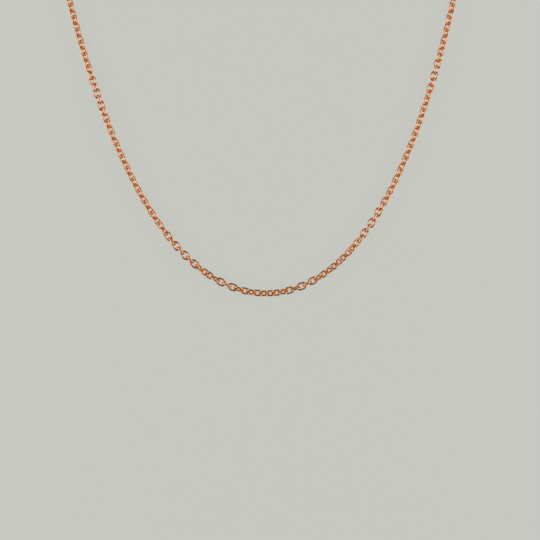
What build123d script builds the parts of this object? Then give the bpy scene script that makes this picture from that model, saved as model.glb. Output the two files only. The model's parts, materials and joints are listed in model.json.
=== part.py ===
from build123d import *
from math import asinh, atan2, cos, hypot, radians, sin
import os

# Fine cable-chain necklace, unfastened and laid on a table in an open U.
# Millimetres. +Z is up off the table, +Y runs from the bottom of the U towards its two ends.
# The lobster clasp ends the left side and a closed ring ends the right side.

# ---- chain ----
wire_diameter = 0.52
link_width = 2.10  # outside, across the chain
link_pitch = 1.60  # from one link's middle to the next
link_slack = 0.06  # air between two linked wires
links_per_length = 7  # links carried by one node
lengths_per_side = 19  # nodes on each side of the middle one
middle_offset = 0.7  # of the middle link from the lowest point of the curve, along the chain

# ---- the curve that the chain lies in ----
curve_radius = 22.6  # the catenary's own radius at its lowest point
curve_bottom_x = 0.34  # with the next one, this puts the middle of the whole necklace on the origin
curve_bottom_y = -103.58

# ---- twist of the chain: angle between a link's plane and the table, by distance from the middle ----
twist_stations = (
    (-220, 90),
    (-160, 85),
    (-110, 56),
    (-88, 46),
    (-77.5, 40),
    (-74, 20),
    (-70, -1),
    (-66, -20),
    (-62, -38),
    (-57, -45),
    (-38, -45),
    (-34, -50),
    (-30, -72),
    (-26, -90),
    (-20, -108),
    (-18, -123),
    (-15.5, -142),
    (-12, -171),
    (-9, -196),
    (-6, -214),
    (0, -222),
    (3, -231),
    (6, -248),
    (9, -268),
    (12, -291),
    (15, -309),
    (20, -315),
    (26, -326),
    (29, -344),
    (32, -360),
    (35, -374),
    (38, -394),
    (44, -405),
    (66, -405),
    (69, -422),
    (72, -446),
    (75, -466),
    (78, -486),
    (84, -495),
    (110, -515),
    (160, -600),
    (220, -630),
)

# ---- rings ----
jump_ring_width = 3.80
jump_ring_wire = 0.60
end_ring_width = 5.20
end_ring_wire = 0.80

# ---- lobster clasp, in its own plane: x across, y from the eye to the top, z through its thickness ----
clasp_thickness = 2.10
clasp_edge_round = 0.50
eye_wire = 0.55
eye_width = 2.10
claw_centre = (0, 6.25)
claw_radius = 2.65
housing_centre = (0.10, 2.30)
housing_radius = 1.75
neck_centre = (0, 1.15)
neck_radius = 0.55
mouth_top = (0, 6.35)
mouth_top_radius = 1.60
mouth_bottom = (-0.20, 4.95)
mouth_bottom_radius = 1.05
pivot = (0.85, 3.10)
pin_radius = 0.32
pin_edge = 0.05
pin_clearance = 0.03
cheek_radius = 1.15
lever_reach = 3.80
lever_root_radius = 1.02
lever_thickness = 0.90
lever_arm_thickness = 1.90
lever_gap = 0.08
lever_edge_round = 0.45
slot_width = 1.00
heel_end = -0.65
heel_height = 0.50
pocket_left = -0.85
pocket_right = 0.50
pocket_low = 1.35
pocket_high = 3.50
spring_middle = -0.35
spring_width = 0.72
spring_wire = 0.14
spring_turns = 5
spring_end_gap = 0.03
thumb_angle = -30
thumb_near = 1.75
thumb_far = 2.05
thumb_width = 0.90
thumb_thickness = 1.50

wire_radius = wire_diameter / 2
link_length = link_pitch + 2 * wire_diameter + link_slack
link_bend = (link_width - wire_diameter) / 2  # of the wire's centre line
link_straight = link_length - link_width
end_wire = link_length / 2 - wire_radius  # from a link's middle to the middle of its end wire
link_count = links_per_length * (2 * lengths_per_side + 1)
last_link = (link_count - 1) // 2

os.makedirs("parts", exist_ok=True)


def twist_at(distance):
    """The chain's twist in degrees at a distance from its middle, even from one station to the next."""
    for (start, first), (end, second) in zip(twist_stations, twist_stations[1:]):
        if distance <= end:
            return first + (second - first) * (distance - start) / (end - start)


def chain_plane(position):
    """The plane of link number position (0 in the middle, minus to the left), origin in its middle.
    x runs along the chain, z is square to the flat of the link."""
    distance = position * link_pitch + middle_offset
    x = curve_bottom_x + curve_radius * asinh(distance / curve_radius)
    y = curve_bottom_y + hypot(curve_radius, distance) - curve_radius
    heading = atan2(distance, curve_radius)
    twist = radians(twist_at(distance))
    # the chain's middle rides as high as its lower links need, so that they rest on the table
    height = wire_radius + link_bend * max(abs(sin(twist)), abs(cos(twist)))
    roll = twist + radians(90) if position % 2 else twist
    along = Vector(cos(heading), sin(heading), 0)
    across = Vector(-sin(heading), cos(heading), 0)
    flat = across * -sin(roll) + Vector(0, 0, 1) * cos(roll)
    return Plane(origin=(x, y, height), x_dir=along, z_dir=flat)


# ---- one link: a round wire bent to an oval ----
with BuildPart() as link:
    with BuildLine() as link_path:
        top = Line((-link_straight / 2, link_bend), (link_straight / 2, link_bend))
        RadiusArc(top @ 1, (link_straight / 2, -link_bend), link_bend)
        bottom = Line((link_straight / 2, -link_bend), (-link_straight / 2, -link_bend))
        RadiusArc(bottom @ 1, top @ 0, link_bend)
    with BuildSketch(Plane(origin=top @ 0, z_dir=(1, 0, 0))):
        Circle(wire_radius)
    sweep(path=link_path.line)


def make_length(name, first):
    """One node of the chain: links_per_length links from number first on, each a solid of its own."""
    with BuildPart() as length:
        for position in range(first, first + links_per_length):
            with Locations(chain_plane(position)):
                add(link.part)
    length.part.label = name
    export_step(length.part, f"parts/{name}.step")


half_length = links_per_length // 2
make_length("chain_middle", -half_length)
for number in range(1, lengths_per_side + 1):
    nearest = half_length + 1 + (number - 1) * links_per_length
    make_length(f"chain_right_{number:02d}", nearest)
    make_length(f"chain_left_{number:02d}", -nearest - links_per_length + 1)


def end_plane(side):
    """The plane of the hardware at one end of the chain: y runs on along the chain, z is up.
    side is 1 on the right and -1 on the left. The origin is in the middle of the last link's end wire."""
    last = chain_plane(side * last_link)
    outward = last.x_dir * side
    return Plane(origin=last.origin + outward * end_wire, x_dir=outward.cross(Vector(0, 0, 1)), z_dir=(0, 0, 1))


def ring_centre(ring_width, ring_wire):
    """How far past the end wire a ring's centre lies when the ring is pulled away from the chain."""
    return (ring_width - ring_wire) / 2 - (wire_diameter + ring_wire) / 2 - link_slack


def make_ring(name, side, ring_width, ring_wire):
    """A closed ring of round wire, lying flat through the last link of one side."""
    plane = end_plane(side)
    with BuildPart() as ring:
        with Locations(plane * Location((0, ring_centre(ring_width, ring_wire), 0))):
            Torus((ring_width - ring_wire) / 2, ring_wire / 2)
    ring.part.label = name
    export_step(ring.part, f"parts/{name}.step")


make_ring("jump_ring", -1, jump_ring_width, jump_ring_wire)
make_ring("end_ring", 1, end_ring_width, end_ring_wire)

# ---- lobster clasp ----
eye_bend = (eye_width - eye_wire) / 2
jump_ring_far_wire = ring_centre(jump_ring_width, jump_ring_wire) + (jump_ring_width - jump_ring_wire) / 2
eye_centre = jump_ring_far_wire + eye_bend - (jump_ring_wire + eye_wire) / 2 - link_slack
left_end = end_plane(-1)
clasp_plane = Plane(origin=left_end.origin + left_end.y_dir * eye_centre, x_dir=left_end.x_dir, z_dir=(0, 0, 1))
gap_radius = lever_reach + lever_gap


def hull_of(*circles):
    """The outline stretched round some circles, each given as a centre and a radius."""
    with BuildSketch(mode=Mode.PRIVATE) as rounds:
        for centre, radius in circles:
            with Locations(centre):
                Circle(radius)
    with BuildSketch(mode=Mode.PRIVATE) as stretched:
        make_hull(rounds.edges())
    return stretched.sketch


def sector_of(radius, start, end):
    """A slice of a circle about the pivot, between two angles."""
    with BuildSketch(mode=Mode.PRIVATE) as slice_of_circle:
        with BuildLine(Location(pivot)):
            rim = CenterArc((0, 0), radius, start, end - start)
            Polyline((0, 0), rim @ 0)
            Polyline((0, 0), rim @ 1)
        make_face()
    return slice_of_circle.sketch


def pivot_point(distance):
    """The point at a distance from the pivot along the middle of the thumb piece."""
    turn = radians(thumb_angle)
    return (pivot[0] + distance * cos(turn), pivot[1] + distance * sin(turn))


claw_outline = hull_of((claw_centre, claw_radius), (housing_centre, housing_radius), (neck_centre, neck_radius))
mouth_outline = hull_of((mouth_top, mouth_top_radius), (mouth_bottom, mouth_bottom_radius))
gate_side = (24, 112)  # angles about the pivot between which the clasp's own wall is missing
slot_side = (-62, 112)  # angles about the pivot that the lever's root and thumb sweep through
arm_side = (32, 100)  # angles about the pivot that the lever's arm fills when closed
heel_middle = ((heel_end + pivot[0]) / 2, pivot[1])
pocket_middle = ((pocket_left + pocket_right) / 2, (pocket_low + pocket_high) / 2)
pocket_size = (pocket_right - pocket_left, pocket_high - pocket_low)


def claw_blank(thickness, edge_round):
    """The claw's outline as a plump slab, before anything is cut away."""
    with BuildPart() as blank:
        with BuildSketch(clasp_plane):
            add(claw_outline)
        extrude(amount=thickness / 2, both=True)
        fillet(blank.edges().group_by(Axis.Z)[0], edge_round)
        fillet(blank.edges().group_by(Axis.Z)[-1], edge_round)
    return blank.part


with BuildPart() as clasp_body:
    add(claw_blank(clasp_thickness, clasp_edge_round))
    # the eye that the jump ring passes through, standing across the clasp
    with Locations(clasp_plane * Location((0, 0, 0), (0, 90, 0))):
        Torus(eye_bend, eye_wire / 2)
        Cylinder(eye_bend - eye_wire / 2, clasp_thickness, mode=Mode.SUBTRACT)
    # the mouth of the hook
    with BuildSketch(clasp_plane):
        add(mouth_outline)
    extrude(amount=clasp_thickness, both=True, mode=Mode.SUBTRACT)
    # the wall on the gate side is missing from the two cheeks to the nose
    with BuildSketch(clasp_plane):
        add(sector_of(gap_radius, *gate_side))
        with Locations(pivot):
            Circle(cheek_radius, mode=Mode.SUBTRACT)
    extrude(amount=clasp_thickness, both=True, mode=Mode.SUBTRACT)
    # the slot between the cheeks, and the pocket beside it for the spring
    with BuildSketch(clasp_plane):
        with Locations(pivot):
            Circle(lever_root_radius + lever_gap)
        add(sector_of(gap_radius, *slot_side))
        with Locations(pocket_middle):
            Rectangle(*pocket_size)
    extrude(amount=slot_width / 2, both=True, mode=Mode.SUBTRACT)
    # the pin's hole through both cheeks
    with Locations(clasp_plane * Location(pivot)):
        Cylinder(pin_radius, clasp_thickness * 2, mode=Mode.SUBTRACT)
clasp_body.part.label = "clasp_body"
export_step(clasp_body.part, "parts/clasp_body.step")

# ---- lever: it closes the mouth, turns on the pin between the cheeks and opens inwards ----
with BuildPart() as clasp_lever:
    # the arm carries on the outline of the claw, as thick as the claw itself
    add(claw_blank(lever_arm_thickness, lever_edge_round))
    with BuildSketch(clasp_plane):
        add(sector_of(lever_reach, *arm_side))
        add(mouth_outline, mode=Mode.SUBTRACT)
        with Locations(pivot):
            Circle(cheek_radius + lever_gap, mode=Mode.SUBTRACT)
    extrude(amount=clasp_thickness, both=True, mode=Mode.INTERSECT)
    # the thumb piece outside the cheeks
    with BuildSketch(clasp_plane):
        SlotCenterPoint(pivot_point((thumb_near + thumb_far) / 2), pivot_point(thumb_far), thumb_width)
    extrude(amount=thumb_thickness / 2, both=True)
    # the root between the cheeks, with the arm's core, the thumb's stem and the heel on the spring
    with BuildSketch(clasp_plane):
        add(claw_outline)
        add(mouth_outline, mode=Mode.SUBTRACT)
        add(sector_of((lever_reach + cheek_radius) / 2, *arm_side), mode=Mode.INTERSECT)
        with Locations(pivot):
            Circle(lever_root_radius)
        SlotCenterPoint(pivot_point(thumb_far / 2), pivot_point(thumb_far), thumb_width)
        with Locations(heel_middle):
            Rectangle(pivot[0] - heel_end, heel_height)
    extrude(amount=lever_thickness / 2, both=True)
    with Locations(clasp_plane * Location(pivot)):
        Cylinder(pin_radius + pin_clearance, clasp_thickness, mode=Mode.SUBTRACT)
clasp_lever.part.label = "clasp_lever"
export_step(clasp_lever.part, "parts/clasp_lever.step")

# ---- pivot pin: riveted flush in the cheeks ----
with BuildPart() as clasp_pin:
    with Locations(clasp_plane * Location(pivot)):
        Cylinder(pin_radius, clasp_thickness)
    chamfer(clasp_pin.edges().filter_by(GeomType.CIRCLE), pin_edge)
clasp_pin.part.label = "clasp_pin"
export_step(clasp_pin.part, "parts/clasp_pin.step")

# ---- spring: a coil between the pocket's floor and the lever's heel ----
spring_low = pocket_low + spring_wire / 2 + spring_end_gap
spring_high = pivot[1] - heel_height / 2 - spring_wire / 2 - spring_end_gap
spring_pitch = (spring_high - spring_low) / spring_turns
spring_foot = clasp_plane.from_local_coords((spring_middle, spring_low, 0))
with BuildPart() as clasp_spring:
    with BuildLine() as spring_coil:
        Helix(
            spring_pitch,
            spring_high - spring_low,
            (spring_width - spring_wire) / 2,
            center=spring_foot,
            direction=clasp_plane.y_dir,
        )
    with BuildSketch(Plane(origin=spring_coil.line @ 0, z_dir=spring_coil.line % 0)):
        Circle(spring_wire / 2)
    sweep(path=spring_coil.line, is_frenet=True)
clasp_spring.part.label = "clasp_spring"
export_step(clasp_spring.part, "parts/clasp_spring.step")
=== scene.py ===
import json
import math
import random

import bpy
import numpy as np
from mathutils import Matrix, Vector


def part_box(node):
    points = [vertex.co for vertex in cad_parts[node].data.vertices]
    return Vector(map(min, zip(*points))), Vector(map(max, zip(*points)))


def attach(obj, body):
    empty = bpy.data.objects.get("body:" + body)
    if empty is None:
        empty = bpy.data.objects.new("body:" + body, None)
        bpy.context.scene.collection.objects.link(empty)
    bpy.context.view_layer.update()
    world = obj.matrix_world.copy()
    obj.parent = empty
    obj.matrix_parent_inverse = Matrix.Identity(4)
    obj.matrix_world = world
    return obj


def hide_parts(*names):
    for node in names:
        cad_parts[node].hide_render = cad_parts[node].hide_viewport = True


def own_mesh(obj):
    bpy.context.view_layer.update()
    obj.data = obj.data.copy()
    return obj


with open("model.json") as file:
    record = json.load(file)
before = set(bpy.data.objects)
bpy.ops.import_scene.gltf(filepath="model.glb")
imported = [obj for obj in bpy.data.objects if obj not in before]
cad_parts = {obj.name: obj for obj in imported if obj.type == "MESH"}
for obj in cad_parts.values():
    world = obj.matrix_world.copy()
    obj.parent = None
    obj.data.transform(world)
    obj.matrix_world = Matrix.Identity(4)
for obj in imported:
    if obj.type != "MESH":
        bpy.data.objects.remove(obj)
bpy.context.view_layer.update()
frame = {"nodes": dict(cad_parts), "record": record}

cadRecord = frame["record"]
cadBodies = cadRecord["behaviour"]["bodies"]
bodyOfNode = {node: body for body, nodes in cadBodies.items() for node in nodes}
mm = 0.001
mergeDistance = 0.0001 * mm
random.seed(8)


def selectNone():
    if bpy.context.object and bpy.context.object.mode != "OBJECT":
        bpy.ops.object.mode_set(mode="OBJECT")
    bpy.ops.object.select_all(action="DESELECT")


def selectOnly(*objects):
    selectNone()
    for item in objects:
        item.select_set(True)
    bpy.context.view_layer.objects.active = objects[0]


def pickVertices(piece, wanted):
    # leaves edit mode on with just the wanted vertices selected
    bpy.ops.object.mode_set(mode="EDIT")
    bpy.ops.mesh.select_mode(type="VERT")
    bpy.ops.mesh.select_all(action="DESELECT")
    bpy.ops.object.mode_set(mode="OBJECT")
    for vertex in piece.data.vertices:
        vertex.select = wanted(vertex.co)
    bpy.ops.object.mode_set(mode="EDIT")


def addSubsurf(piece, levels):
    smooth = piece.modifiers.new("smooth", "SUBSURF")
    smooth.levels = levels
    smooth.render_levels = levels


def smoothSize(piece):
    # the size of a piece with its modifiers on
    seen = piece.evaluated_get(bpy.context.evaluated_depsgraph_get()).data
    points = np.array([vertex.co for vertex in seen.vertices])
    return points.max(0) - points.min(0)


class Wire:
    # one output socket, so that shader maths reads as ordinary maths
    def __init__(self, shader, socket):
        self.shader = shader
        self.socket = socket

    def maths(self, operation, *values):
        inputs = dict(enumerate(values))
        return self.shader.node("ShaderNodeMath", {"operation": operation}, inputs)

    def __add__(self, other): return self.maths("ADD", self, other)
    def __radd__(self, other): return self.maths("ADD", other, self)
    def __sub__(self, other): return self.maths("SUBTRACT", self, other)
    def __rsub__(self, other): return self.maths("SUBTRACT", other, self)
    def __mul__(self, other): return self.maths("MULTIPLY", self, other)
    def __rmul__(self, other): return self.maths("MULTIPLY", other, self)
    def __abs__(self): return self.maths("ABSOLUTE", self)
    def cosine(self): return self.maths("COSINE", self)


class Shader:
    # one material and its nodes
    def __init__(self, name):
        self.material = bpy.data.materials.new(name)
        self.material.use_nodes = True
        self.tree = self.material.node_tree
        self.surface = self.tree.nodes["Principled BSDF"]

    def node(self, kind, settings, inputs, output=0):
        made = self.tree.nodes.new(kind)
        for key, value in settings.items():
            setattr(made, key, value)
        for key, value in inputs.items():
            self.plug(made.inputs[key], value)
        return Wire(self, made.outputs[output])

    def plug(self, socket, value):
        if isinstance(value, Wire):
            self.tree.links.new(value.socket, socket)
        else:
            socket.default_value = value

    def feed(self, **values):
        for key, value in values.items():
            self.plug(self.surface.inputs[key.replace("_", " ")], value)

    def cloudy(self, scale, detail=2.0, stretch=(1, 1, 1)):
        # soft noise between 0 and 1, its scale in features to the metre
        place = self.node("ShaderNodeTexCoord", {}, {}, "Object")
        spot = self.node("ShaderNodeMapping", {}, {"Vector": place, "Scale": stretch})
        noise = {"Vector": spot, "Scale": scale, "Detail": detail}
        return self.node("ShaderNodeTexNoise", {}, noise, "Fac")

    def around(self):
        # how far round a link or ring, from 0 to 1
        unwrapped = self.node("ShaderNodeUVMap", {"uv_map": "UVMap"}, {})
        return self.node("ShaderNodeSeparateXYZ", {}, {0: unwrapped}, "X")

    def step(self, value, low, high):
        # 0 below low, 1 above high
        return self.node("ShaderNodeMapRange", {"interpolation_type": "SMOOTHSTEP"},
                         {"Value": value, "From Min": low, "From Max": high})

    def blend(self, share, first, second):
        # sockets 6 and 7 are the two colours, and output 2 is their mix
        return self.node("ShaderNodeMix", {"data_type": "RGBA"}, {0: share, 6: first, 7: second}, 2)

    def bump(self, height, distance):
        return self.node("ShaderNodeBump", {}, {"Height": height, "Distance": distance})


roseGold = {
    "colour": (0.92, 0.49, 0.26, 1),
    "paleColour": (0.95, 0.57, 0.33, 1),  # the paler patches, and the soldered joint
    "deepColour": (0.82, 0.32, 0.09, 1),  # in the grain
    "paintedSheenColour": (0.96, 0.73, 0.52, 1),  # the sides of a link, painted paler: a painted sheen for the bright light they reflect
    "crossingColour": (0.84, 0.25, 0.02, 1),  # its ends, painted deep for the light thrown between links
    "patchScale": 420,  # features to the metre
    "patchDetail": 3.0,
    "patchRange": (0.35, 0.7),
    "grainScale": 5200,
    "grainDetail": 4.0,
    "grainRange": (0.55, 0.8),
    "grainShare": 0.35,
    "grainHeight": 0.6,  # with the streaks', makes up the whole scratch depth
    "streakScale": 5200 / 3,
    "streakStretch": (1, 7, 1),
    "streakHeight": 0.4,
    "scratchDepth": 0.0022 * mm,
    "roughness": 0.13,
    "roughnessSpread": 0.12,
    "roughnessMiddle": 0.4,  # the noise that adds nothing to the roughness
    "paintedSheenShare": 0.85,
    "paintedSheenFade": 0.7,  # how much of that is lost towards a link's ends
    "crossingRange": (0.25, 0.9),
    "crossingShare": 0.9,
    "seamHalfWidth": 0.012,  # share of the way round a link
    "seamCore": 0.3,  # the part of that which is at full depth
    "seamPaleness": 0.5,
    "seamRoughness": 0.15,
    "seamDepth": 0.012 * mm,
}


def makeRoseGold(name, seamAt=None, extraRough=0.0, deepEnds=False):
    gold = roseGold
    metal = Shader(name)
    patches = metal.cloudy(gold["patchScale"], gold["patchDetail"])
    grain = metal.cloudy(gold["grainScale"], gold["grainDetail"])
    streaks = metal.cloudy(gold["streakScale"], stretch=gold["streakStretch"])
    paler = metal.step(patches, *gold["patchRange"])
    colour = metal.blend(paler, gold["colour"], gold["paleColour"])
    clouding = patches * 0.5 + streaks * 0.5 - gold["roughnessMiddle"]
    roughness = gold["roughness"] + extraRough + clouding * gold["roughnessSpread"]
    height = grain * gold["grainHeight"] + streaks * gold["streakHeight"]
    normal = metal.bump(height, gold["scratchDepth"])
    if deepEnds:
        # 1 at the two ends of a link and 0 at the middle of its sides
        endness = abs((metal.around() * math.tau).cosine())
        # painted sheen: the sides of a link are painted paler for the bright light they reflect
        paintedSheen = gold["paintedSheenShare"] - endness * gold["paintedSheenFade"]
        deepened = metal.step(endness, *gold["crossingRange"]) * gold["crossingShare"]
        colour = metal.blend(paintedSheen, colour, gold["paintedSheenColour"])
        colour = metal.blend(deepened, colour, gold["crossingColour"])
    grainy = metal.step(grain, *gold["grainRange"]) * gold["grainShare"]
    colour = metal.blend(grainy, colour, gold["deepColour"])
    if seamAt is not None:
        # the soldered joint: a fine line across the wire, a little paler and duller
        edge = gold["seamHalfWidth"]
        seam = 1 - metal.step(abs(metal.around() - seamAt), edge * gold["seamCore"], edge)
        colour = metal.blend(seam * gold["seamPaleness"], colour, gold["paleColour"])
        roughness = roughness + seam * gold["seamRoughness"]
        groove = {"Height": seam, "Distance": gold["seamDepth"], "Normal": normal}
        normal = metal.node("ShaderNodeBump", {"invert": True}, groove)
    metal.feed(Base_Color=colour, Roughness=roughness, Normal=normal)
    metal.feed(Metallic=1.0)
    return metal.material


springSteel = {
    "darkColour": (0.42, 0.42, 0.43, 1),
    "brightColour": (0.62, 0.62, 0.63, 1),
    "drawnScale": 3000,  # features to the metre
    "drawnDetail": 3.0,
    "drawnStretch": (1, 6, 1),
    "drawnDepth": 0.002 * mm,
    "roughness": 0.22,
    "roughnessSpread": 0.18,
}


def makeSpringSteel():
    steel = springSteel
    metal = Shader("spring steel")
    drawn = metal.cloudy(steel["drawnScale"], steel["drawnDetail"], steel["drawnStretch"])
    colour = metal.blend(drawn, steel["darkColour"], steel["brightColour"])
    roughness = steel["roughness"] + drawn * steel["roughnessSpread"]
    metal.feed(Base_Color=colour, Roughness=roughness, Normal=metal.bump(drawn, steel["drawnDepth"]))
    metal.feed(Metallic=1.0)
    return metal.material


linkMetal = makeRoseGold("rose gold links", seamAt=0.25, deepEnds=True)
ringMetal = makeRoseGold("rose gold rings", seamAt=0.5)
castMetal = makeRoseGold("rose gold casting", extraRough=0.22)
pinMetal = makeRoseGold("rose gold rivet", extraRough=0.15)
springMetal = makeSpringSteel()
print("materials made")


link = {
    "length": 2.70 * mm,
    "width": 2.10 * mm,
    "wire": 0.52 * mm,
    "bends": 12,  # sections round the link
    "sides": 6,  # sides of the wire
    "wireSwell": 1.15,  # the smoothing thins a six-sided wire by about this
    "middleBand": 0.05 * mm,  # what is this near a link's middle stays as its ends are drawn out
    "smoothing": 1,
}


def makeRound(name, major, minor, sections, sides):
    # a ring of wire as a coarse cage, lying in the XY plane
    selectNone()
    bpy.ops.mesh.primitive_torus_add(major_radius=major, minor_radius=minor,
                                     major_segments=sections, minor_segments=sides)
    ring = bpy.context.object
    ring.name = name
    bpy.ops.object.shade_smooth()
    return ring


def fitSize(piece, wanted):
    # the smoothing draws a cage in, so the cage is let out until the smooth shape has its real size
    growth = [right / now for right, now in zip(wanted, smoothSize(piece))]
    piece.data.transform(Matrix.Diagonal([*growth, 1]))


def makeLinkCage():
    bend = (link["width"] - link["wire"]) / 2
    wire = link["wire"] / 2 * link["wireSwell"]
    cage = makeRound("link cage", bend, wire, link["bends"], link["sides"])
    stretch = (link["length"] - link["width"]) / 2
    for side in (1, -1):
        pickVertices(cage, lambda point: point.x * side > link["middleBand"])
        bpy.ops.transform.translate(value=(side * stretch, 0, 0))
        bpy.ops.object.mode_set(mode="OBJECT")
    addSubsurf(cage, link["smoothing"])
    fitSize(cage, (link["length"], link["width"], link["wire"]))
    return cage


def looseParts(node):
    # a merged copy of a CAD node, separated into its solids
    selectNone()
    source = frame["nodes"][node]
    copy = source.copy()
    copy.data = source.data.copy()
    bpy.context.collection.objects.link(copy)
    selectOnly(copy)
    bpy.ops.object.mode_set(mode="EDIT")
    bpy.ops.mesh.select_all(action="SELECT")
    bpy.ops.mesh.remove_doubles(threshold=mergeDistance)
    bpy.ops.mesh.separate(type="LOOSE")
    bpy.ops.object.mode_set(mode="OBJECT")
    return list(bpy.context.selected_objects)


def placeOf(part):
    # middle, and the axes along, across and square to the flat of a link
    faces = part.data.polygons
    middles = np.array([face.center for face in faces])
    areas = np.array([face.area for face in faces])
    middle = (middles * areas[:, None]).sum(0) / areas.sum()
    spread = ((middles - middle) * areas[:, None]).T @ (middles - middle)
    axes = np.linalg.eigh(spread)[1]  # the least spread comes first
    along, across = Vector(axes[:, 2]), Vector(axes[:, 1])
    turned = Matrix((along, across, along.cross(across))).transposed().to_4x4()
    return Matrix.Translation(Vector(middle)) @ turned


def finishPiece(piece, node, metal):
    piece.data.materials.clear()
    piece.data.materials.append(metal)
    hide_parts(node)
    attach(piece, bodyOfNode[node])


linkCage = makeLinkCage()
print("link made, smooth size in mm", smoothSize(linkCage) / mm)


def makeChainLength(node):
    copies = []
    for part in looseParts(node):
        place = placeOf(part)
        bpy.data.objects.remove(part)
        copy = linkCage.copy()
        copy.data = linkCage.data.copy()
        bpy.context.collection.objects.link(copy)
        if random.random() < 0.5:
            place = place @ Matrix.Rotation(math.pi, 4, "Z")  # the soldered side may be either one
        copy.data.transform(place)
        copies.append(copy)
    selectOnly(*copies)
    bpy.ops.object.join()
    bpy.ops.object.modifier_apply(modifier="smooth")
    piece = bpy.context.object
    piece.name = node.replace("chain", "links")
    finishPiece(piece, node, linkMetal)


chainNodes = sorted(node for node in frame["nodes"] if node.startswith("chain_"))
for chainNode in chainNodes:
    makeChainLength(chainNode)
bpy.data.objects.remove(linkCage)
print("chain made,", len(chainNodes), "lengths")


rings = {
    "jump_ring": {"name": "jump_ring_wire", "sections": 20, "sides": 8, "smoothing": 2},
    "end_ring": {"name": "end_ring_wire", "sections": 24, "sides": 8, "smoothing": 2},
}


def makeWireRing(node, values):
    low, high = (Vector(corner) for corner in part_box(node))
    size = high - low
    wire = size.z
    major = (size.x - wire) / 2
    ring = makeRound(values["name"], major, wire / 2, values["sections"], values["sides"])
    addSubsurf(ring, values["smoothing"])
    fitSize(ring, size)
    bpy.ops.object.modifier_apply(modifier="smooth")
    ring.data.transform(Matrix.Translation((low + high) / 2))
    finishPiece(ring, node, ringMetal)


for ringNode, ringValues in rings.items():
    makeWireRing(ringNode, ringValues)
print("rings made")


spring = {
    "name": "clasp_spring_coil",
    "pressed": 0.55,  # its length with the lever fully open, as a share of its length at rest
    "smoothAngle": 60,  # degrees
}


def makeSpring():
    # a merged copy of the coil
    coil = looseParts("clasp_spring")[0]
    coil.name = spring["name"]
    bpy.ops.object.shade_smooth_by_angle(angle=math.radians(spring["smoothAngle"]))
    finishPiece(coil, "clasp_spring", springMetal)
    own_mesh(coil)


makeSpring()
print("spring made")


# the rest of the clasp keeps its CAD shapes, with a finish for each
claspFinish = {
    "clasp_body": castMetal,
    "clasp_lever": castMetal,
    "clasp_pin": pinMetal,
}
for claspNode, finish in claspFinish.items():
    for materialSlot in frame["nodes"][claspNode].material_slots:
        materialSlot.material = finish
print("clasp finished")


camera = {
    "lens": 85,
    "sensor": 36,
    "span": 135 * mm,  # what the view takes in, side to side, at the chain
    "nearest": 0.01,  # metres, what comes closer isn't drawn
    "tilt": -1.02,  # degrees
    "lowPointRight": -0.62 * mm,  # the foot of the curve, from the middle of the view
    "lowPointUp": -5.8225 * mm,
}


def makeCamera():
    seat = next(mount for mount in cadRecord["mounts"] if mount["name"] == "pendant_seat")
    tilt = math.radians(camera["tilt"])
    lowPoint = Vector((camera["lowPointRight"], camera["lowPointUp"], 0))
    middle = Vector(seat["pos_m"]) - Matrix.Rotation(tilt, 3, "Z") @ lowPoint
    distance = camera["span"] * camera["lens"] / camera["sensor"]
    bpy.ops.object.camera_add(location=middle + Vector((0, 0, distance)), rotation=(0, 0, tilt))
    made = bpy.context.object
    made.name = "front view"
    made.data.lens = camera["lens"]
    made.data.sensor_width = camera["sensor"]
    made.data.clip_start = camera["nearest"]
    bpy.context.scene.camera = made
    return middle


viewMiddle = makeCamera()
print("camera set over", viewMiddle)


studio = {
    "floorSize": 12.0,  # metres, as the distances and sizes below
    "floorColour": (0.571, 0.578, 0.546, 1),
    "floorGlow": 0.918,
    "floorDiffuse": (0.09, 0.091, 0.087, 1),
    "floorRoughness": 0.9,
    "floorClouds": 3,  # features to the metre
    "floorShade": 0.995,  # the darkest of the clouds against the palest
    "sideWatts": 1.42,
    "sideSize": (0.70, 0.35),
    "sideDistance": 0.42,
    "sideHeight": 0.27,
    "sideColour": (1.0, 0.95, 0.87),
    "fillWatts": 0.16,  # of the weaker pair, above and below the view
    "ceilingGlow": 0.08,
    "ceilingColour": (1.0, 0.50, 0.16, 1),
}


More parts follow.
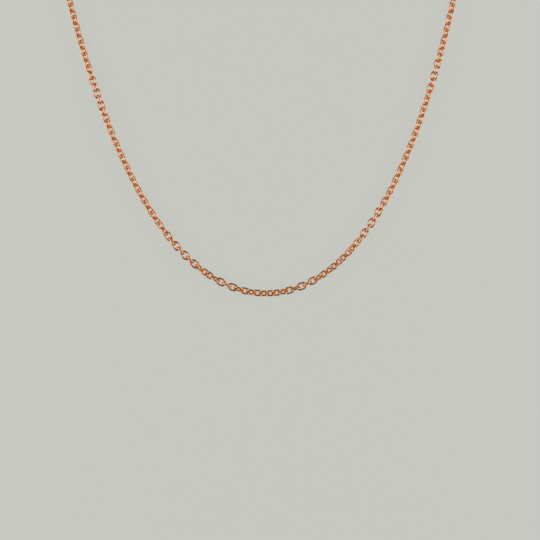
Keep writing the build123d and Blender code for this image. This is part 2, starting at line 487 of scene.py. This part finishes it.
def makeFloor():
    selectNone()
    bpy.ops.mesh.primitive_plane_add(size=studio["floorSize"], location=(0, 0, 0))
    floor = bpy.context.object
    floor.name = "floor"
    paint = Shader("pale backdrop")
    shaded = tuple(studio["floorShade"] * value for value in studio["floorColour"])
    glow = paint.blend(paint.cloudy(studio["floorClouds"]), studio["floorColour"], shaded)
    paint.feed(Base_Color=studio["floorDiffuse"], Emission_Color=glow)
    paint.feed(Roughness=studio["floorRoughness"], Emission_Strength=studio["floorGlow"])
    paint.feed(Specular_IOR_Level=0.0)
    floor.data.materials.append(paint.material)


def makeSoftbox(name, watts, towards):
    reach = Vector(towards) * studio["sideDistance"] + Vector((0, 0, studio["sideHeight"]))
    spot = viewMiddle + reach
    aim = reach.to_track_quat("Z", "Y")
    bpy.ops.object.light_add(type="AREA", location=spot, rotation=aim.to_euler())
    lamp = bpy.context.object
    lamp.name = name
    lamp.data.shape = "RECTANGLE"
    lamp.data.size, lamp.data.size_y = studio["sideSize"]
    lamp.data.energy = watts
    lamp.data.color = studio["sideColour"]
    lamp.visible_camera = False


def makeRoom():
    # a dim room round the softboxes; the camera itself sees a pale wall
    world = bpy.data.worlds.new("room")
    bpy.context.scene.world = world
    world.use_nodes = True
    nodes, links = world.node_tree.nodes, world.node_tree.links
    room = nodes["Background"]
    room.inputs["Color"].default_value = studio["ceilingColour"]
    room.inputs["Strength"].default_value = studio["ceilingGlow"]
    wall = nodes.new("ShaderNodeBackground")
    wall.inputs["Color"].default_value = studio["floorColour"]
    choose = nodes.new("ShaderNodeMixShader")
    path = nodes.new("ShaderNodeLightPath")
    links.new(path.outputs["Is Camera Ray"], choose.inputs[0])
    links.new(room.outputs[0], choose.inputs[1])
    links.new(wall.outputs[0], choose.inputs[2])
    links.new(choose.outputs[0], nodes["World Output"].inputs["Surface"])


makeFloor()
makeSoftbox("softbox left", studio["sideWatts"], (-1, 0, 0))
makeSoftbox("softbox right", studio["sideWatts"], (1, 0, 0))
makeSoftbox("softbox above", studio["fillWatts"], (0, 1, 0))
makeSoftbox("softbox below", studio["fillWatts"], (0, -1, 0))
makeRoom()
bpy.context.scene.view_settings.view_transform = "Standard"
print("studio set")
